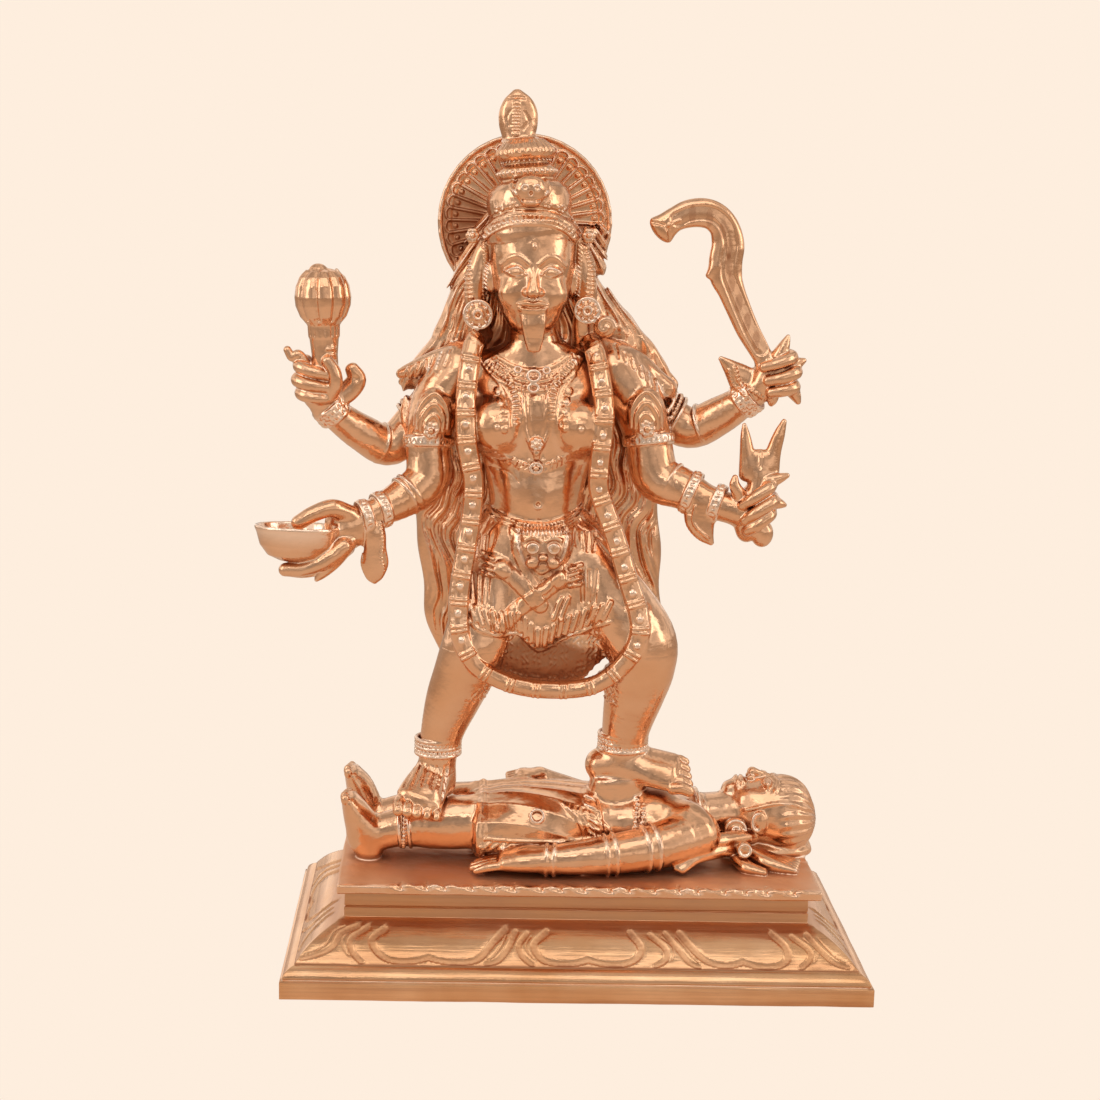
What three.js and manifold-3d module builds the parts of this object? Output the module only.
// A cast metal figure: a four-armed goddess standing on a recumbent figure, on a moulded plinth.
// Millimetres, +Z up, the front faces -Y. The origin is the middle of the plinth's underside.

import * as THREE from 'three';
import { mergeVertices } from 'three/addons/utils/BufferGeometryUtils.js';
import Module from 'manifold-3d';

const wasm = await Module();
wasm.setup();

// Driving dimensions of the plinth and of the slab that the figures are cast on
const plinthWidth = 150;
const plinthDepth = 85;
const footHeight = 4.6;
const rollHeight = 3.4;
const rollInset = 3.5;
const petalHeight = 7.2;
const ledgeWidth = 3;
const ledgeHeight = 1.2;
const neckHeight = 6.5;
const slabWidth = 124.6;
const slabDepth = 59;
const slabThickness = 2.4;
const slabOverhang = 2.5;
const slabShift = 0.6;
const seatGap = 0.3;

// Petals of the plinth's sloping course
const petalLength = 30;
const petalGap = 9;
const petalMargin = 1.1;
const petalRelief = 0.7;
const petalBedding = 1.2;

// The figure's height from the slab to the tip of the crown. All of the pose and the carving is
// drawn for a figure of 200 mm and follows this height.
const figureHeight = 200;
const drawnHeight = 200;
const figureScale = figureHeight / drawnHeight;

const plinthHeight = footHeight + rollHeight + petalHeight + ledgeHeight + neckHeight;
const slabTop = plinthHeight + seatGap + slabThickness;

const copper = { color: 0xc98456, metalness: 1, roughness: 0.22 };

// Solids

const vector = (point) => new THREE.Vector3(...point);

function solidOf(geometry) {
  geometry.deleteAttribute('uv');
  geometry.deleteAttribute('normal');
  const merged = mergeVertices(geometry, 1e-4);
  const corners = merged.index.array;
  const places = merged.attributes.position.array;
  let volume = 0;
  const [a, b, c] = [new THREE.Vector3(), new THREE.Vector3(), new THREE.Vector3()];
  for (let i = 0; i < corners.length; i += 3) {
    a.fromArray(places, 3 * corners[i]);
    b.fromArray(places, 3 * corners[i + 1]);
    c.fromArray(places, 3 * corners[i + 2]);
    volume += a.dot(b.cross(c));
  }
  const triVerts = new Uint32Array(corners);
  if (volume < 0) {
    for (let i = 0; i < triVerts.length; i += 3) {
      [triVerts[i], triVerts[i + 1]] = [triVerts[i + 1], triVerts[i]];
    }
  }
  const mesh = new wasm.Mesh({ numProp: 3, vertProperties: new Float32Array(places), triVerts });
  return new wasm.Manifold(mesh);
}

function joined(solids) {
  return solids.reduce((whole, solid) => whole.add(solid));
}

function geometryOf(solid) {
  const mesh = solid.getMesh();
  const geometry = new THREE.BufferGeometry();
  geometry.setAttribute('position', new THREE.BufferAttribute(mesh.vertProperties, 3));
  geometry.setIndex(new THREE.BufferAttribute(mesh.triVerts, 1));
  geometry.computeVertexNormals();
  return geometry;
}

// A sphere whose points are moved by place(direction, longitude, latitude share)
function movedSphere(sides, rings, place) {
  const geometry = new THREE.SphereGeometry(1, sides, rings);
  const position = geometry.attributes.position;
  const direction = new THREE.Vector3();
  for (let i = 0; i < position.count; i += 1) {
    direction.fromBufferAttribute(position, i);
    const share = Math.acos(THREE.MathUtils.clamp(direction.y, -1, 1)) / Math.PI;
    const longitude = Math.atan2(direction.z, direction.x);
    const moved = place(direction, longitude, share);
    position.setXYZ(i, moved.x, moved.y, moved.z);
  }
  return solidOf(geometry);
}

// An ellipsoid with radii along X, Y and Z, turned by leaning its Z axis along lean
function ball(centre, radii, sides = 7, rings = 4, lean = [0, 0, 1]) {
  const turn = new THREE.Quaternion().setFromUnitVectors(vector([0, 0, 1]), vector(lean).normalize());
  return movedSphere(sides, rings, (direction) =>
    new THREE.Vector3(direction.x * radii[0], direction.z * radii[1], direction.y * radii[2])
      .applyQuaternion(turn)
      .add(vector(centre)));
}

// A body drawn out along a smooth line through stations [x, y, z, half width, half depth].
// The half width lies along side, and ripple(longitude, share) scales the section.
function drawnOut(stations, options = {}) {
  const { sides = 8, rings = 6, side = [1, 0, 0], blunt = 0.4, ripple = () => 1 } = options;
  const line = new THREE.CatmullRomCurve3(stations.map((s) => vector(s.slice(0, 3))));
  const size = new THREE.CatmullRomCurve3(stations.map((s) => vector([s[3], s[4] ?? s[3], 0])));
  const sideways = vector(side);
  return movedSphere(sides, rings, (direction, longitude, share) => {
    const along = THREE.MathUtils.lerp(share, (1 - Math.cos(Math.PI * share)) / 2, 0.5);
    const middle = line.getPoint(along);
    const tangent = line.getTangent(along);
    const across = sideways.clone().addScaledVector(tangent, -sideways.dot(tangent)).normalize();
    const outward = new THREE.Vector3().crossVectors(tangent, across);
    const half = size.getPoint(along);
    const atPole = Math.abs(direction.y) > 1 - 1e-6;
    const swell = atPole ? 0 : Math.sin(Math.PI * share) ** blunt * ripple(longitude, share);
    return middle
      .addScaledVector(across, Math.cos(longitude) * half.x * swell)
      .addScaledVector(outward, Math.sin(longitude) * half.y * swell);
  });
}

// A raised band around a limb: a flat drum on the limb's axis, which lies along lean
function band(centre, lean, halfWidth, halfDepth, height, sides = 7) {
  const geometry = new THREE.CylinderGeometry(1, 1, height, sides);
  geometry.scale(halfWidth, 1, halfDepth);
  geometry.rotateX(Math.PI / 2);
  const turn = new THREE.Quaternion().setFromUnitVectors(vector([0, 0, 1]), vector(lean).normalize());
  geometry.applyQuaternion(turn);
  geometry.translate(...centre);
  return solidOf(geometry);
}

// A turned form from [radius, height] pairs, standing at base with its axis along lean
function turned(profile, base, lean = [0, 0, 1], sides = 16, flatten = 1, relief = () => 0) {
  const geometry = new THREE.LatheGeometry(profile.map((p) => new THREE.Vector2(...p)), sides);
  geometry.rotateX(Math.PI / 2);
  const position = geometry.attributes.position;
  for (let i = 0; i < position.count; i += 1) {
    const [x, y, z] = [position.getX(i), position.getY(i), position.getZ(i)];
    position.setXYZ(i, x, y * flatten, z + relief(Math.hypot(x, y), Math.atan2(y, x), z));
  }
  geometry.applyQuaternion(
    new THREE.Quaternion().setFromUnitVectors(vector([0, 0, 1]), vector(lean).normalize()));
  geometry.translate(...base);
  return solidOf(geometry);
}

// Plinth

// Corners of a rectangle of the moulding, at half width, half depth and height
const courseCorners = (halfWidth, halfDepth, height) => [
  [halfWidth, -halfDepth, height],
  [halfWidth, halfDepth, height],
  [-halfWidth, halfDepth, height],
  [-halfWidth, -halfDepth, height],
];

function plinthProfile() {
  const neckHalfWidth = slabWidth / 2 - slabOverhang;
  const neckHalfDepth = slabDepth / 2 - slabOverhang;
  const footTop = footHeight;
  const rollTop = footTop + rollHeight;
  const petalTop = rollTop + petalHeight;
  const courses = [[0, 0, 0], [0, 0, footTop]];
  const rollSteps = 4;
  for (let i = 1; i <= rollSteps; i += 1) {
    const angle = (Math.PI * i) / rollSteps;
    const bulge = 0.4 * Math.sin(angle);
    courses.push([(i / rollSteps) * rollInset - bulge, 0, footTop + (i / rollSteps) * rollHeight]);
  }
  const outer = courses.map(([inset, , height]) =>
    courseCorners(plinthWidth / 2 - inset, plinthDepth / 2 - inset, height));
  const inner = [
    courseCorners(neckHalfWidth + ledgeWidth, neckHalfDepth + ledgeWidth, petalTop),
    courseCorners(neckHalfWidth, neckHalfDepth, petalTop + ledgeHeight),
    courseCorners(neckHalfWidth, neckHalfDepth, plinthHeight),
  ];
  return [...outer, ...inner];
}

// Joins a stack of four-cornered courses into one closed solid
function stacked(courses) {
  const places = courses.flat(2);
  const faces = [];
  for (let level = 0; level + 1 < courses.length; level += 1) {
    for (let corner = 0; corner < 4; corner += 1) {
      const [low, next] = [4 * level + corner, 4 * level + ((corner + 1) % 4)];
      faces.push(low, next, next + 4, low, next + 4, low + 4);
    }
  }
  const top = 4 * (courses.length - 1);
  faces.push(0, 2, 1, 0, 3, 2, top, top + 1, top + 2, top, top + 2, top + 3);
  const geometry = new THREE.BufferGeometry();
  geometry.setAttribute('position', new THREE.Float32BufferAttribute(places, 3));
  geometry.setIndex(faces);
  return solidOf(geometry);
}

// One raised petal: a long panel with round ends, drawn in the plane of the slope
function petalPanel(length, height) {
  const shape = new THREE.Shape();
  const round = height / 2;
  shape.moveTo(-length / 2 + round, -round);
  shape.lineTo(length / 2 - round, -round);
  shape.absarc(length / 2 - round, 0, round, -Math.PI / 2, Math.PI / 2, false);
  shape.lineTo(-length / 2 + round, round);
  shape.absarc(-length / 2 + round, 0, round, Math.PI / 2, 1.5 * Math.PI, false);
  return new THREE.ExtrudeGeometry(shape, {
    depth: petalBedding,
    bevelThickness: petalRelief,
    bevelSize: petalRelief,
    bevelOffset: -petalRelief,
    bevelSegments: 1,
    curveSegments: 2,
  });
}

// The petals of one side: a row of panels laid on the slope between two courses
function petalRow(sideTurn, low, high, span) {
  const run = low.reach - high.reach;
  const slope = Math.hypot(run, petalHeight);
  const tilt = Math.atan2(petalHeight, run);
  const height = slope - 2 * petalMargin;
  const count = Math.max(1, Math.floor((span + petalGap) / (petalLength + petalGap)));
  const pitch = petalLength + petalGap;
  return Array.from({ length: count }, (_, i) => {
    const geometry = petalPanel(petalLength, height);
    geometry.translate(0, 0, -petalBedding);
    geometry.rotateX(tilt);
    geometry.translate((i - (count - 1) / 2) * pitch,
      -(low.reach + high.reach) / 2, footHeight + rollHeight + petalHeight / 2);
    geometry.rotateZ(sideTurn);
    return solidOf(geometry);
  });
}

function plinthSolid() {
  const body = stacked(plinthProfile());
  const neckHalf = { wide: slabWidth / 2 - slabOverhang, deep: slabDepth / 2 - slabOverhang };
  const front = [{ reach: plinthDepth / 2 - rollInset }, { reach: neckHalf.deep + ledgeWidth }];
  const ends = [{ reach: plinthWidth / 2 - rollInset }, { reach: neckHalf.wide + ledgeWidth }];
  const petals = [
    ...petalRow(0, ...front, 2 * neckHalf.wide),
    ...petalRow(Math.PI, ...front, 2 * neckHalf.wide),
    ...petalRow(Math.PI / 2, ...ends, 2 * neckHalf.deep),
    ...petalRow(-Math.PI / 2, ...ends, 2 * neckHalf.deep),
  ];
  return joined([body, ...petals]);
}

// The goddess. Heights are above the slab, for the drawn figure of 200 mm.

const bodyMiddle = -13;
const headMiddle = -15.4;

function goddessTrunk() {
  return [
    drawnOut([
      [-11.5, 0.5, 60, 15, 9.5],
      [-11.8, 0, 76, 16.5, 10.5],
      [-12.6, -0.5, 91, 12.4, 8.4],
      [-12.8, -0.8, 103, 13.4, 9],
      [-12.9, -0.8, 114, 17.4, 10],
      [-12.9, 0, 124, 21, 9.8],
      [-13.1, 0.8, 131.5, 20, 7.6],
      [-13.8, 0.3, 136, 9, 6.4],
      [-14.6, -0.8, 146, 6.2, 6.2],
    ], { sides: 12, rings: 10, blunt: 0.25 }),
    ...[-1, 1].map((sign) => ball([bodyMiddle + sign * 10.8, -8.2, 115.5], [5.8, 6, 5.8], 7, 5)),
    band([-12.6, -0.5, 93], [0.05, 0, 1], 14.2, 10.4, 2.4, 14),
    ball([-11.9, -12.4, 84.6], [7.6, 2.6, 8], 8, 6),
    band([-13.5, -5.8, 127], [0, -1, 1], 13.6, 11.6, 1.8, 14),
  ];
}

function goddessHead() {
  const [middle, front] = [headMiddle, -14];
  const eyeSpread = 4.5;
  const head = drawnOut([
    [middle, -8.4, 140.4, 4.4, 5], [middle, -5.6, 146, 8, 9.6], [middle, -3.4, 152, 9.9, 10.8],
    [middle, -2.6, 158, 10.8, 11.6], [middle, -1.8, 164, 10.6, 11], [middle, -1, 169, 8, 8],
  ], { sides: 12, rings: 8, blunt: 0.15 });
  const pair = (make) => [-1, 1].map(make);
  return [
    head,
    drawnOut([[middle, front + 0.6, 158.4, 0.8], [middle, front - 0.8, 154, 1.1],
      [middle, front - 1.8, 150.6, 1.9, 1.5], [middle, front + 0.4, 149, 1.4]], { sides: 5, rings: 5 }),
    ...pair((sign) => ball([middle + sign * eyeSpread, front + 1, 155.6], [2.4, 1.3, 1.1], 6, 4)),
    ball([middle, front + 1.4, 146.7], [3.4, 1.5, 1.2], 6, 4),
    drawnOut([[middle + 0.2, front + 1, 147, 3.2, 1], [middle + 0.3, front - 0.3, 143.5, 3.2, 1],
      [middle + 0.5, front + 0.8, 139.6, 2.4, 1], [middle + 0.6, front + 1.2, 136.4, 1.5, 0.8]],
    { sides: 6, rings: 6 }),
    ...pair((sign) => ball([middle + sign * 13.8, -3.4, 144], [3.6, 2.2, 3.6], 7, 4)),
    ...pair((sign) => drawnOut([[middle + sign * 10.6, -1, 163, 2.4], [middle + sign * 12.6, -1, 153, 3],
      [middle + sign * 13.6, -1, 144, 2.8], [middle + sign * 13, 1, 134, 3]], { sides: 5, rings: 5 })),
    ball([middle - 0.4, 3.5, 157], [13.4, 8, 13], 9, 5),
  ];
}

function goddessCrown() {
  const [base, lean] = [[-15.8, -1.6, 163.6], [-0.1, 0.06, 1]];
  const profile = [
    [0, 0], [12.4, 0], [12.6, 2.6], [10.9, 3.8], [10.9, 8.4], [8.2, 14.4], [8.8, 16.2],
    [6.2, 18.8], [7.4, 21.6], [4.2, 24.6], [0, 25.6],
  ];
  return [
    turned(profile, base, lean, 11),
    ball([-17, -11.2, 175.6], [4, 2.6, 4], 8, 5),
    drawnOut([[-18.6, 0, 187, 3.4, 3], [-19.4, 0, 189.6, 4.6, 2.6], [-20, 0, 194, 5, 2.2],
      [-20.3, 0, 197.6, 3.4, 1.6], [-20.5, 0, 200, 1.2, 1]], { sides: 8, rings: 6, blunt: 0.5 }),
  ];
}

function goddessHalo() {
  const [radius, rimWidth, fieldRadius] = [22.6, 3.9, 10.5];
  const [thickness, rimRise, rayDepth, rays] = [1.8, 0.9, 0.5, 20];
  const rayTurn = Math.PI / (2 * rays);
  const profile = [
    [0, -thickness], [radius, -thickness], [radius, rimRise],
    [radius - rimWidth, rimRise], [radius - rimWidth - 0.3, 0.2], [fieldRadius, 0.2], [0, 0.2],
  ];
  const relief = (distance, angle, height) => {
    const onRays = distance > fieldRadius - 1 && distance < radius - rimWidth && height > 0;
    return onRays ? -rayDepth * (Math.cos(2 * rays * 0.5 * angle + rayTurn) > 0 ? 0 : 1) : 0;
  };
  return [turned(profile, [-17.3, 9, 167.1], [0, -1, 0.02], 2 * rays, 1, relief)];
}

function goddessHair() {
  const locks = (count, depth) => (longitude) => 1 + depth * Math.cos(count * longitude);
  return [
    drawnOut([
      [-16.6, 6.5, 168, 12, 5.5],
      [-16.4, 7.5, 158, 18, 5.5],
      [-15, 8.2, 146, 22.6, 5.8],
      [-13.4, 8.6, 136, 27.6, 5.6],
      [-12.4, 8.6, 129, 39, 4.4],
      [-12.4, 8.6, 124, 44, 3],
    ], { sides: 18, rings: 7, blunt: 0.3, ripple: locks(9, 0.04) }),
    drawnOut([
      [-13, 7.4, 126, 25, 6.5],
      [-12.8, 8, 112, 30, 7],
      [-12.6, 8.4, 98, 32.8, 7.4],
      [-11.4, 8.8, 84, 32.6, 7.6],
      [-10.2, 9, 70, 32.4, 7.6],
      [-8.6, 8.6, 58, 31.5, 7],
      [-8, 8, 46, 26, 6],
    ], { sides: 22, rings: 7, blunt: 0.25, ripple: locks(11, 0.04) }),
  ];
}

function goddessSkirt() {
  const drape = (longitude, share) => 1 + 0.03 * Math.cos(6 * longitude) * share;
  return [
    drawnOut([
      [-12.6, -0.6, 94, 13, 9],
      [-12.6, -1, 85, 16.6, 11],
      [-12.2, -1.2, 74, 19.6, 12.2],
      [-12, -1.2, 66, 21, 12.6],
      [-11.6, -1, 58.5, 19.5, 12],
    ], { sides: 16, rings: 7, blunt: 0.25, ripple: drape }),
    drawnOut([[-11, 1.5, 68, 18, 9], [-10.4, 2, 55, 18, 8.4], [-10, 2.4, 44.6, 15, 7]],
      { sides: 10, rings: 5, blunt: 0.3 }),
    drawnOut([[-11.6, -11.4, 66, 7, 2], [-10.6, -11.4, 60.4, 5, 2.4], [-10.3, -11, 57, 1.6, 1.6]],
      { sides: 6, rings: 4 }),
  ];
}

function goddessLegs() {
  const leftLeg = [
    [-20, -1, 84, 9.6], [-24.5, -5, 68, 9.6], [-27.8, -7, 57.5, 8.8], [-30.6, -6, 50, 8],
    [-33.2, -5, 43, 7.1], [-35.6, -4, 35, 5.9], [-37, -3, 27, 5.2], [-37.2, -3, 22, 5],
  ];
  const rightLeg = [
    [-4, -1, 84, 9.6], [6.5, -4, 72, 10], [15.6, -7.4, 61, 9.6], [16, -7, 54, 9.2],
    [14.6, -6, 46.6, 8], [13, -4.4, 38, 6.8], [12, -3, 29.5, 5.8], [12, -3, 24, 5.6],
  ];
  const anklets = [[-36.9, -3, 30], [12.1, -3, 32]];
  return [
    drawnOut(leftLeg, { sides: 8, rings: 8, blunt: 0.25 }),
    drawnOut(rightLeg, { sides: 8, rings: 8, blunt: 0.25 }),
    ...anklets.map((centre) => band(centre, [0, 0, 1], 6.8, 6.8, 4.4, 9)),
  ];
}

function goddessFeet() {
  return [
    drawnOut([[-36.4, 4, 18, 4.4, 4], [-37, -2, 21.4, 5.2, 6], [-38.8, -9, 18, 5.8, 4.4],
      [-40.8, -17.4, 14.6, 6.4, 1.8]], { sides: 8, rings: 6, side: [1, 0, -0.35] }),
    drawnOut([[5.4, -2.6, 22.6, 4.2, 4], [11, -3.4, 24, 5.4, 6], [20, -5.6, 22, 5.8, 4.4],
      [30, -8.4, 20.4, 5.8, 1.8]], { sides: 8, rings: 6, side: [0, 1, 0] }),
  ];
}

const arms = {
  leftFront: [[-33, 0.5, 129, 7.4], [-38.8, -1, 121, 7], [-41, -2.6, 111, 5.8],
    [-41, -4, 101.6, 5.8], [-47, -7, 96.6, 5.1], [-55.4, -11, 92.4, 3.6], [-60, -12.4, 91.2, 3.3]],
  leftRear: [[-33, 4, 128, 6.4], [-42, 5, 118, 5.8], [-50.6, 4.4, 108.6, 5.4],
    [-58, 0.6, 112, 5], [-65.6, -4, 118, 3.8], [-68.4, -5.6, 121.4, 3.6]],
  rightFront: [[7, 0.5, 130, 7.4], [12.8, -1, 122, 7], [15.8, -2.6, 112.6, 6.2],
    [18, -4.4, 103.4, 6.4], [24.8, -7, 100.6, 5.4], [31, -9, 98, 4.3], [39.6, -11, 95.6, 3.9]],
  rightRear: [[7, 4, 128, 6.4], [18, 5, 120, 6], [27, 4.4, 115, 5.6],
    [34.2, 1, 118.8, 5.2], [40.8, -2, 123.8, 4], [45, -3.6, 128, 3.8]],
};

function goddessArms() {
  const armbands = [
    [[-40.8, -2.4, 112.4], [0, -0.15, 1], 6],
    [[15.5, -2.4, 113.8], [-0.15, -0.15, 1], 6.3],
  ];
  const bracelets = [
    [[-54.2, -10.6, 93], [-1, -0.4, -0.4], 4], [[-64.2, -3.4, 117], [-1, -0.5, 0.7], 4.2],
    [[31.6, -9.2, 97.8], [1, -0.3, -0.4], 4.5], [[40, -1.6, 123.2], [1, -0.4, 0.7], 4.5],
  ];
  const cuffs = [...armbands, ...bracelets];
  return [
    ...Object.values(arms).map((line) => drawnOut(line, { sides: 6, rings: 8, blunt: 0.3 })),
    ...cuffs.map(([centre, lean, half]) => band(centre, lean, half + 0.9, half + 0.9, 2.6)),
  ];
}

// Loose pointed ends of cloth tied at the wrists
function wristRibbons() {
  const options = { sides: 4, rings: 4 };
  return [
    drawnOut([[-55.2, -11, 91, 2.2, 1.2], [-54.6, -11.4, 86, 3.4, 1.3], [-53.4, -11.8, 80, 2.4, 1.2],
      [-52.8, -12, 76.6, 0.6, 0.6]], options),
    drawnOut([[31.4, -9, 96, 2.4, 1.2], [32, -9.6, 91.6, 2.6, 1.2], [32.6, -10, 87, 0.6, 0.6]], options),
    drawnOut([[-62.6, -2.6, 118.4, 2.2, 1.2], [-60.6, -1.4, 124, 1.8, 1], [-59.8, -1, 127.6, 0.6, 0.6]],
      options),
  ];
}

// A hand: a palm and fingers that each run through three points
function hand(palm, radii, lean, fingers) {
  return [
    ball(palm, radii, 7, 5, lean),
    ...fingers.map((points) =>
      drawnOut(points.map((point, i) => [...point, 1.6 - 0.3 * i]), { sides: 4, rings: 4 })),
  ];
}

function goddessHands() {
  return [
    ...hand([-62.4, -13, 90.2], [4, 3.6, 4.6], [-1, -0.3, -0.3], [
      [[-62, -14, 92], [-64.6, -16, 93], [-69, -18.4, 91.6]],
      [[-62, -14, 89], [-68, -15.6, 84.4], [-75, -16, 80.6]],
    ]),
    ...hand([-69, -5.4, 124.6], [5, 4, 5.4], [-0.3, 0, 1], [
      [[-66, -7, 125], [-64.6, -9, 129], [-68, -9.6, 131]],
      [[-72, -4, 124], [-75, -5, 128], [-76.4, -6, 133]],
    ]),
    ...hand([47.6, -4.4, 129.6], [5.4, 4, 5.4], [0.5, 0, 1], [
      [[45, -7, 131], [42, -9, 133], [40.4, -7, 136]],
      [[49, -6, 131], [52, -6, 136], [51.6, -4, 141]],
    ]),
    ...hand([41.6, -11, 95.6], [5, 4.2, 5.4], [1, 0, 0.4], [
      [[42, -13, 98], [46, -14.6, 101], [50.6, -12, 105.4]],
    ]),
  ];
}

function bowlInHand() {
  const [rim, wall, height, hollow] = [10.6, 1.4, 8, 5.4];
  const profile = [
    [0, 0], [rim * 0.42, 0.5], [rim * 0.8, height * 0.46], [rim, height], [rim - wall, height],
    [rim * 0.66, height - hollow * 0.7], [rim * 0.3, height - hollow], [0, height - hollow],
  ];
  return [turned(profile, [-73.7, -15, 81.8], [0.05, -0.12, 1], 12, 0.86)];
}

function budInHand() {
  const petals = (longitude) => 1 + 0.07 * Math.cos(6 * longitude);
  return [
    drawnOut([[-67.6, -6, 124, 2.2], [-67.4, -6, 133, 2.2], [-67.8, -6, 141, 2.3]], { sides: 6, rings: 3 }),
    band([-67.7, -6, 137], [0, 0, 1], 2.8, 2.8, 1.8, 8),
    drawnOut([[-68, -6, 138.6, 2.6], [-68.3, -6, 142, 6.6], [-68.6, -6, 146.4, 7.2],
      [-68.6, -6, 150.8, 6.6], [-68.4, -6, 154.6, 4]], { sides: 12, rings: 7, blunt: 0.35, ripple: petals }),
  ];
}

function swordInHand() {
  const thickness = 3.6;
  const blade = [
    [46.4, 131.6, 2.2], [43.2, 138.2, 2.9], [39.2, 145.6, 3.6], [35.8, 151.8, 4.4], [33.8, 157, 5],
    [34, 161.6, 4.6], [32.6, 166.2, 4.6], [29, 169.8, 4.4], [24.4, 170.6, 4.8], [20.2, 169, 4.4],
    [16, 168.2, 2.2], [12.6, 169, 0.8],
  ];
  return [drawnOut(blade.map(([x, z, half]) => [x, -4, z, thickness / 2, half]),
    { sides: 4, rings: 20, side: [0, 1, 0], blunt: 0.15 })];
}

function tridentInHand() {
  const prong = (points) => drawnOut(points, { sides: 5, rings: 5, blunt: 0.3 });
  return [
    prong([[43, -11, 106, 2.6, 1.8], [41.4, -11, 111, 2, 1.6], [40, -11, 115.4, 1.5, 1.3],
      [39.4, -11, 118.6, 0.6, 0.6]]),
    prong([[45, -11, 106, 2.8, 1.8], [46.4, -11, 111, 2.2, 1.6], [48.4, -11, 116, 1.6, 1.3],
      [50, -11, 120, 0.6, 0.6]]),
    ball([44, -11, 107.6], [4.4, 2.2, 3], 6, 4),
    prong([[44, -11, 107, 2.6, 2], [43.2, -11, 97, 3, 2.4], [42.6, -10.6, 88, 1.6, 1.4],
      [42, -10.4, 85.8, 0.6, 0.6]]),
  ];
}

function goddessGarland() {
  const thickness = 2.4;
  const line = [
    [-28.6, 1, 138], [-30.3, -6.6, 136.2], [-31.5, -11.4, 122.8], [-31, -12.4, 111.4],
    [-29.2, -11.4, 102], [-29.6, -11.4, 93], [-30.9, -12.4, 83], [-32.2, -13.6, 72.9],
    [-31.8, -14.4, 63], [-26.9, -14.6, 53.9], [-18.6, -14.6, 49.5], [-8.5, -14.6, 48.1],
    [2.1, -14.6, 49.2], [9.7, -14.8, 54.1], [14.3, -15.4, 62], [14.2, -14.4, 69],
    [10.7, -13, 78.7], [7.4, -12, 88.6], [3.4, -11.6, 98.3], [2.4, -12, 103],
    [3, -12.4, 112.2], [3.7, -11.4, 121.4], [1.6, -6.6, 135], [0, 1, 137],
  ];
  const beads = (longitude, share) => 1 + 0.07 * Math.cos(2 * Math.PI * 18 * share);
  return [drawnOut(line.map((point) => [...point, thickness]),
    { sides: 5, rings: 36, side: [0, 1, 0], blunt: 0.12, ripple: beads })];
}

// The recumbent figure, on its back with the head to the right

function recumbentBody() {
  const alongBody = { side: [0, 1, 0] };
  return [
    ...[-6, 6].map((side) => drawnOut([
      [-56, side, 5.4, 4.4, 4.8], [-46, side, 8.4, 5.2, 5.6], [-36, side, 9.4, 6.6, 7.4],
      [-25, side, 10, 6.8, 7.4], [-14, side * 0.9, 10.4, 7.6, 8],
    ], { ...alongBody, sides: 8, rings: 6, blunt: 0.3 })),
    ...[[-7, 17.6], [6.5, 20.8]].map(([side, toe]) => drawnOut([
      [-54, side, 1, 3.8, 3.8], [-55.4, side, 6, 4.8, 4.4], [-58, side, toe - 7, 5.4, 3.2],
      [-61, side, toe, 5, 2.2],
    ], { ...alongBody, sides: 6, rings: 5 })),
    drawnOut([
      [-26, -2, 8.6, 15.4, 8.4], [-18, -2, 9.6, 14.6, 9.4], [-6, -1.6, 10, 14.4, 9.6],
      [4, -1.4, 10, 13, 9], [10, -1, 10, 11, 7.6],
    ], { ...alongBody, sides: 10, rings: 6, blunt: 0.22 }),
    drawnOut([
      [2, -1.4, 10, 10.6, 7.6], [11, -1.2, 10, 12, 8.4], [20, -0.6, 10.8, 14.4, 9.4],
      [29, 0.6, 9.6, 14.4, 7.8], [35, 2, 9, 7.6, 5.6], [42, 3.4, 10, 5.6, 5.4],
    ], { ...alongBody, sides: 11, rings: 7, blunt: 0.3 }),
    band([9, -1.2, 10], [1, 0, 0.1], 9.8, 12.8, 2.6, 12),
  ];
}

function recumbentArms() {
  const flat = { side: [0, 1, 0], sides: 7 };
  return [
    drawnOut([
      [30, -11, 8, 6.4, 5.6], [21, -16.6, 6.6, 5.2, 5], [10, -19.2, 5.2, 4.6, 4.4],
      [0, -20.6, 4.6, 4.2, 3.8], [-8, -20.2, 4, 3.6, 3.2],
    ], { ...flat, rings: 6, blunt: 0.3 }),
    drawnOut([[-4, -20.4, 4.2, 3.6, 3.4], [-15, -19.2, 3.6, 5, 3.2], [-22, -17.4, 2.2, 4.6, 2],
      [-28.4, -15.6, 0.8, 1.4, 0.8]], { ...flat, rings: 5 }),
    drawnOut([[30, 12, 8, 6, 5.6], [19, 17, 7, 5, 5], [6, 18.4, 9, 4.4, 4.4],
      [-3, 15.6, 13, 4.2, 4], [-9, 12.4, 16.6, 5, 3.4], [-15, 11, 17, 2.6, 1.8]],
    { ...flat, rings: 7, blunt: 0.3 }),
    ...[[20, -16.8, 6.6, 5.6], [8.6, -19.4, 5.2, 5]].map(([x, y, z, half]) =>
      band([x, y, z], [1, 0.12, 0], half - 0.2, half + 0.6, 2.2)),
  ];
}

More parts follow.
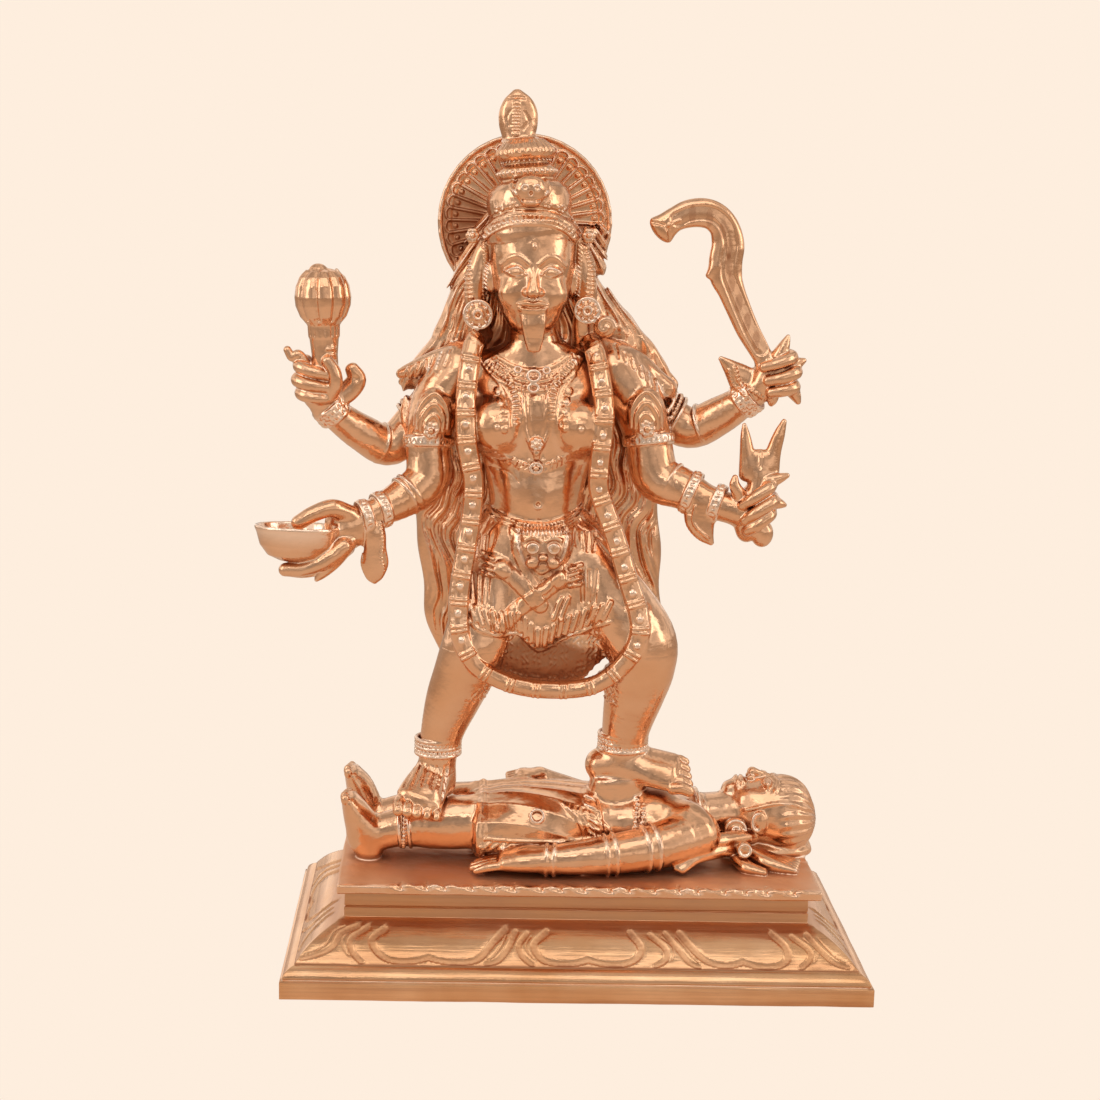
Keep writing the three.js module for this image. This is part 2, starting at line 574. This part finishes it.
function recumbentHead() {
  const [top, middle] = [20.6, 4.6];
  return [
    movedSphere(12, 8, (direction) => {
      const jaw = 1 - 0.24 * Math.max(-direction.y, 0) ** 1.5;
      return new THREE.Vector3(
        53 + direction.y * 12.2,
        middle + direction.x * 9.8 * jaw,
        10.6 + direction.z * 10.4 * jaw);
    }),
    ball([56.6, middle, 9], [9.4, 10.6, 9.2], 9, 5),
    drawnOut([[55.6, middle, top - 0.4, 0.8], [51.4, middle, top + 0.6, 1], [47.8, middle, top + 1.4, 1.7],
      [46.4, middle, top - 1, 1.2]], { sides: 5, rings: 4, side: [0, 1, 0] }),
    ball([44.6, middle, top - 2.6], [1.1, 3, 1.4], 5, 3),
    ball([43.4, middle - 7.6, 8.4], [2.9, 2.4, 2.9], 7, 4),
    drawnOut([[50, -1, 5, 4, 4], [39, -8, 4.2, 4.6, 4], [31, -15, 3, 3.8, 3], [27.6, -19, 1.4, 2, 1.6]],
      { sides: 6, rings: 4, side: [0, 1, 0] }),
    drawnOut([[37, -9, 2.4, 2.4, 2.4], [43, -14, 1.8, 3.4, 2], [48.6, -17, 0.4, 1, 0.8]],
      { sides: 5, rings: 4, side: [0, 1, 0] }),
    drawnOut([[42, 4, 2, 9, 3], [52, 4.6, 2, 10.4, 3.4], [62, 5, 1, 6, 2]],
      { sides: 8, rings: 4, side: [0, 1, 0] }),
  ];
}

function figureSolid() {
  const figures = joined([
    ...goddessTrunk(),
    ...goddessHead(),
    ...goddessCrown(),
    ...goddessHalo(),
    ...goddessHair(),
    ...goddessSkirt(),
    ...goddessLegs(),
    ...goddessFeet(),
    ...goddessArms(),
    ...wristRibbons(),
    ...goddessHands(),
    ...bowlInHand(),
    ...budInHand(),
    ...swordInHand(),
    ...tridentInHand(),
    ...goddessGarland(),
    ...recumbentBody(),
    ...recumbentArms(),
    ...recumbentHead(),
  ]).scale(figureScale);
  const bedding = slabThickness / 2;
  const slab = new THREE.BoxGeometry(slabWidth, slabDepth, slabThickness);
  slab.translate(slabShift, 0, -slabThickness / 2);
  const keepAbove = new THREE.BoxGeometry(4 * plinthWidth, 4 * plinthDepth, 2 * figureHeight);
  keepAbove.translate(0, 0, figureHeight - bedding);
  return joined([solidOf(slab), figures.intersect(solidOf(keepAbove))]);
}

function named(name, solid, height) {
  const mesh = new THREE.Mesh(geometryOf(solid), new THREE.MeshStandardMaterial(copper));
  mesh.name = name;
  mesh.position.z = height;
  return mesh;
}

const object = new THREE.Group();
object.add(named('plinth', plinthSolid(), 0));
object.add(named('figure_group', figureSolid(), slabTop));

export default object;
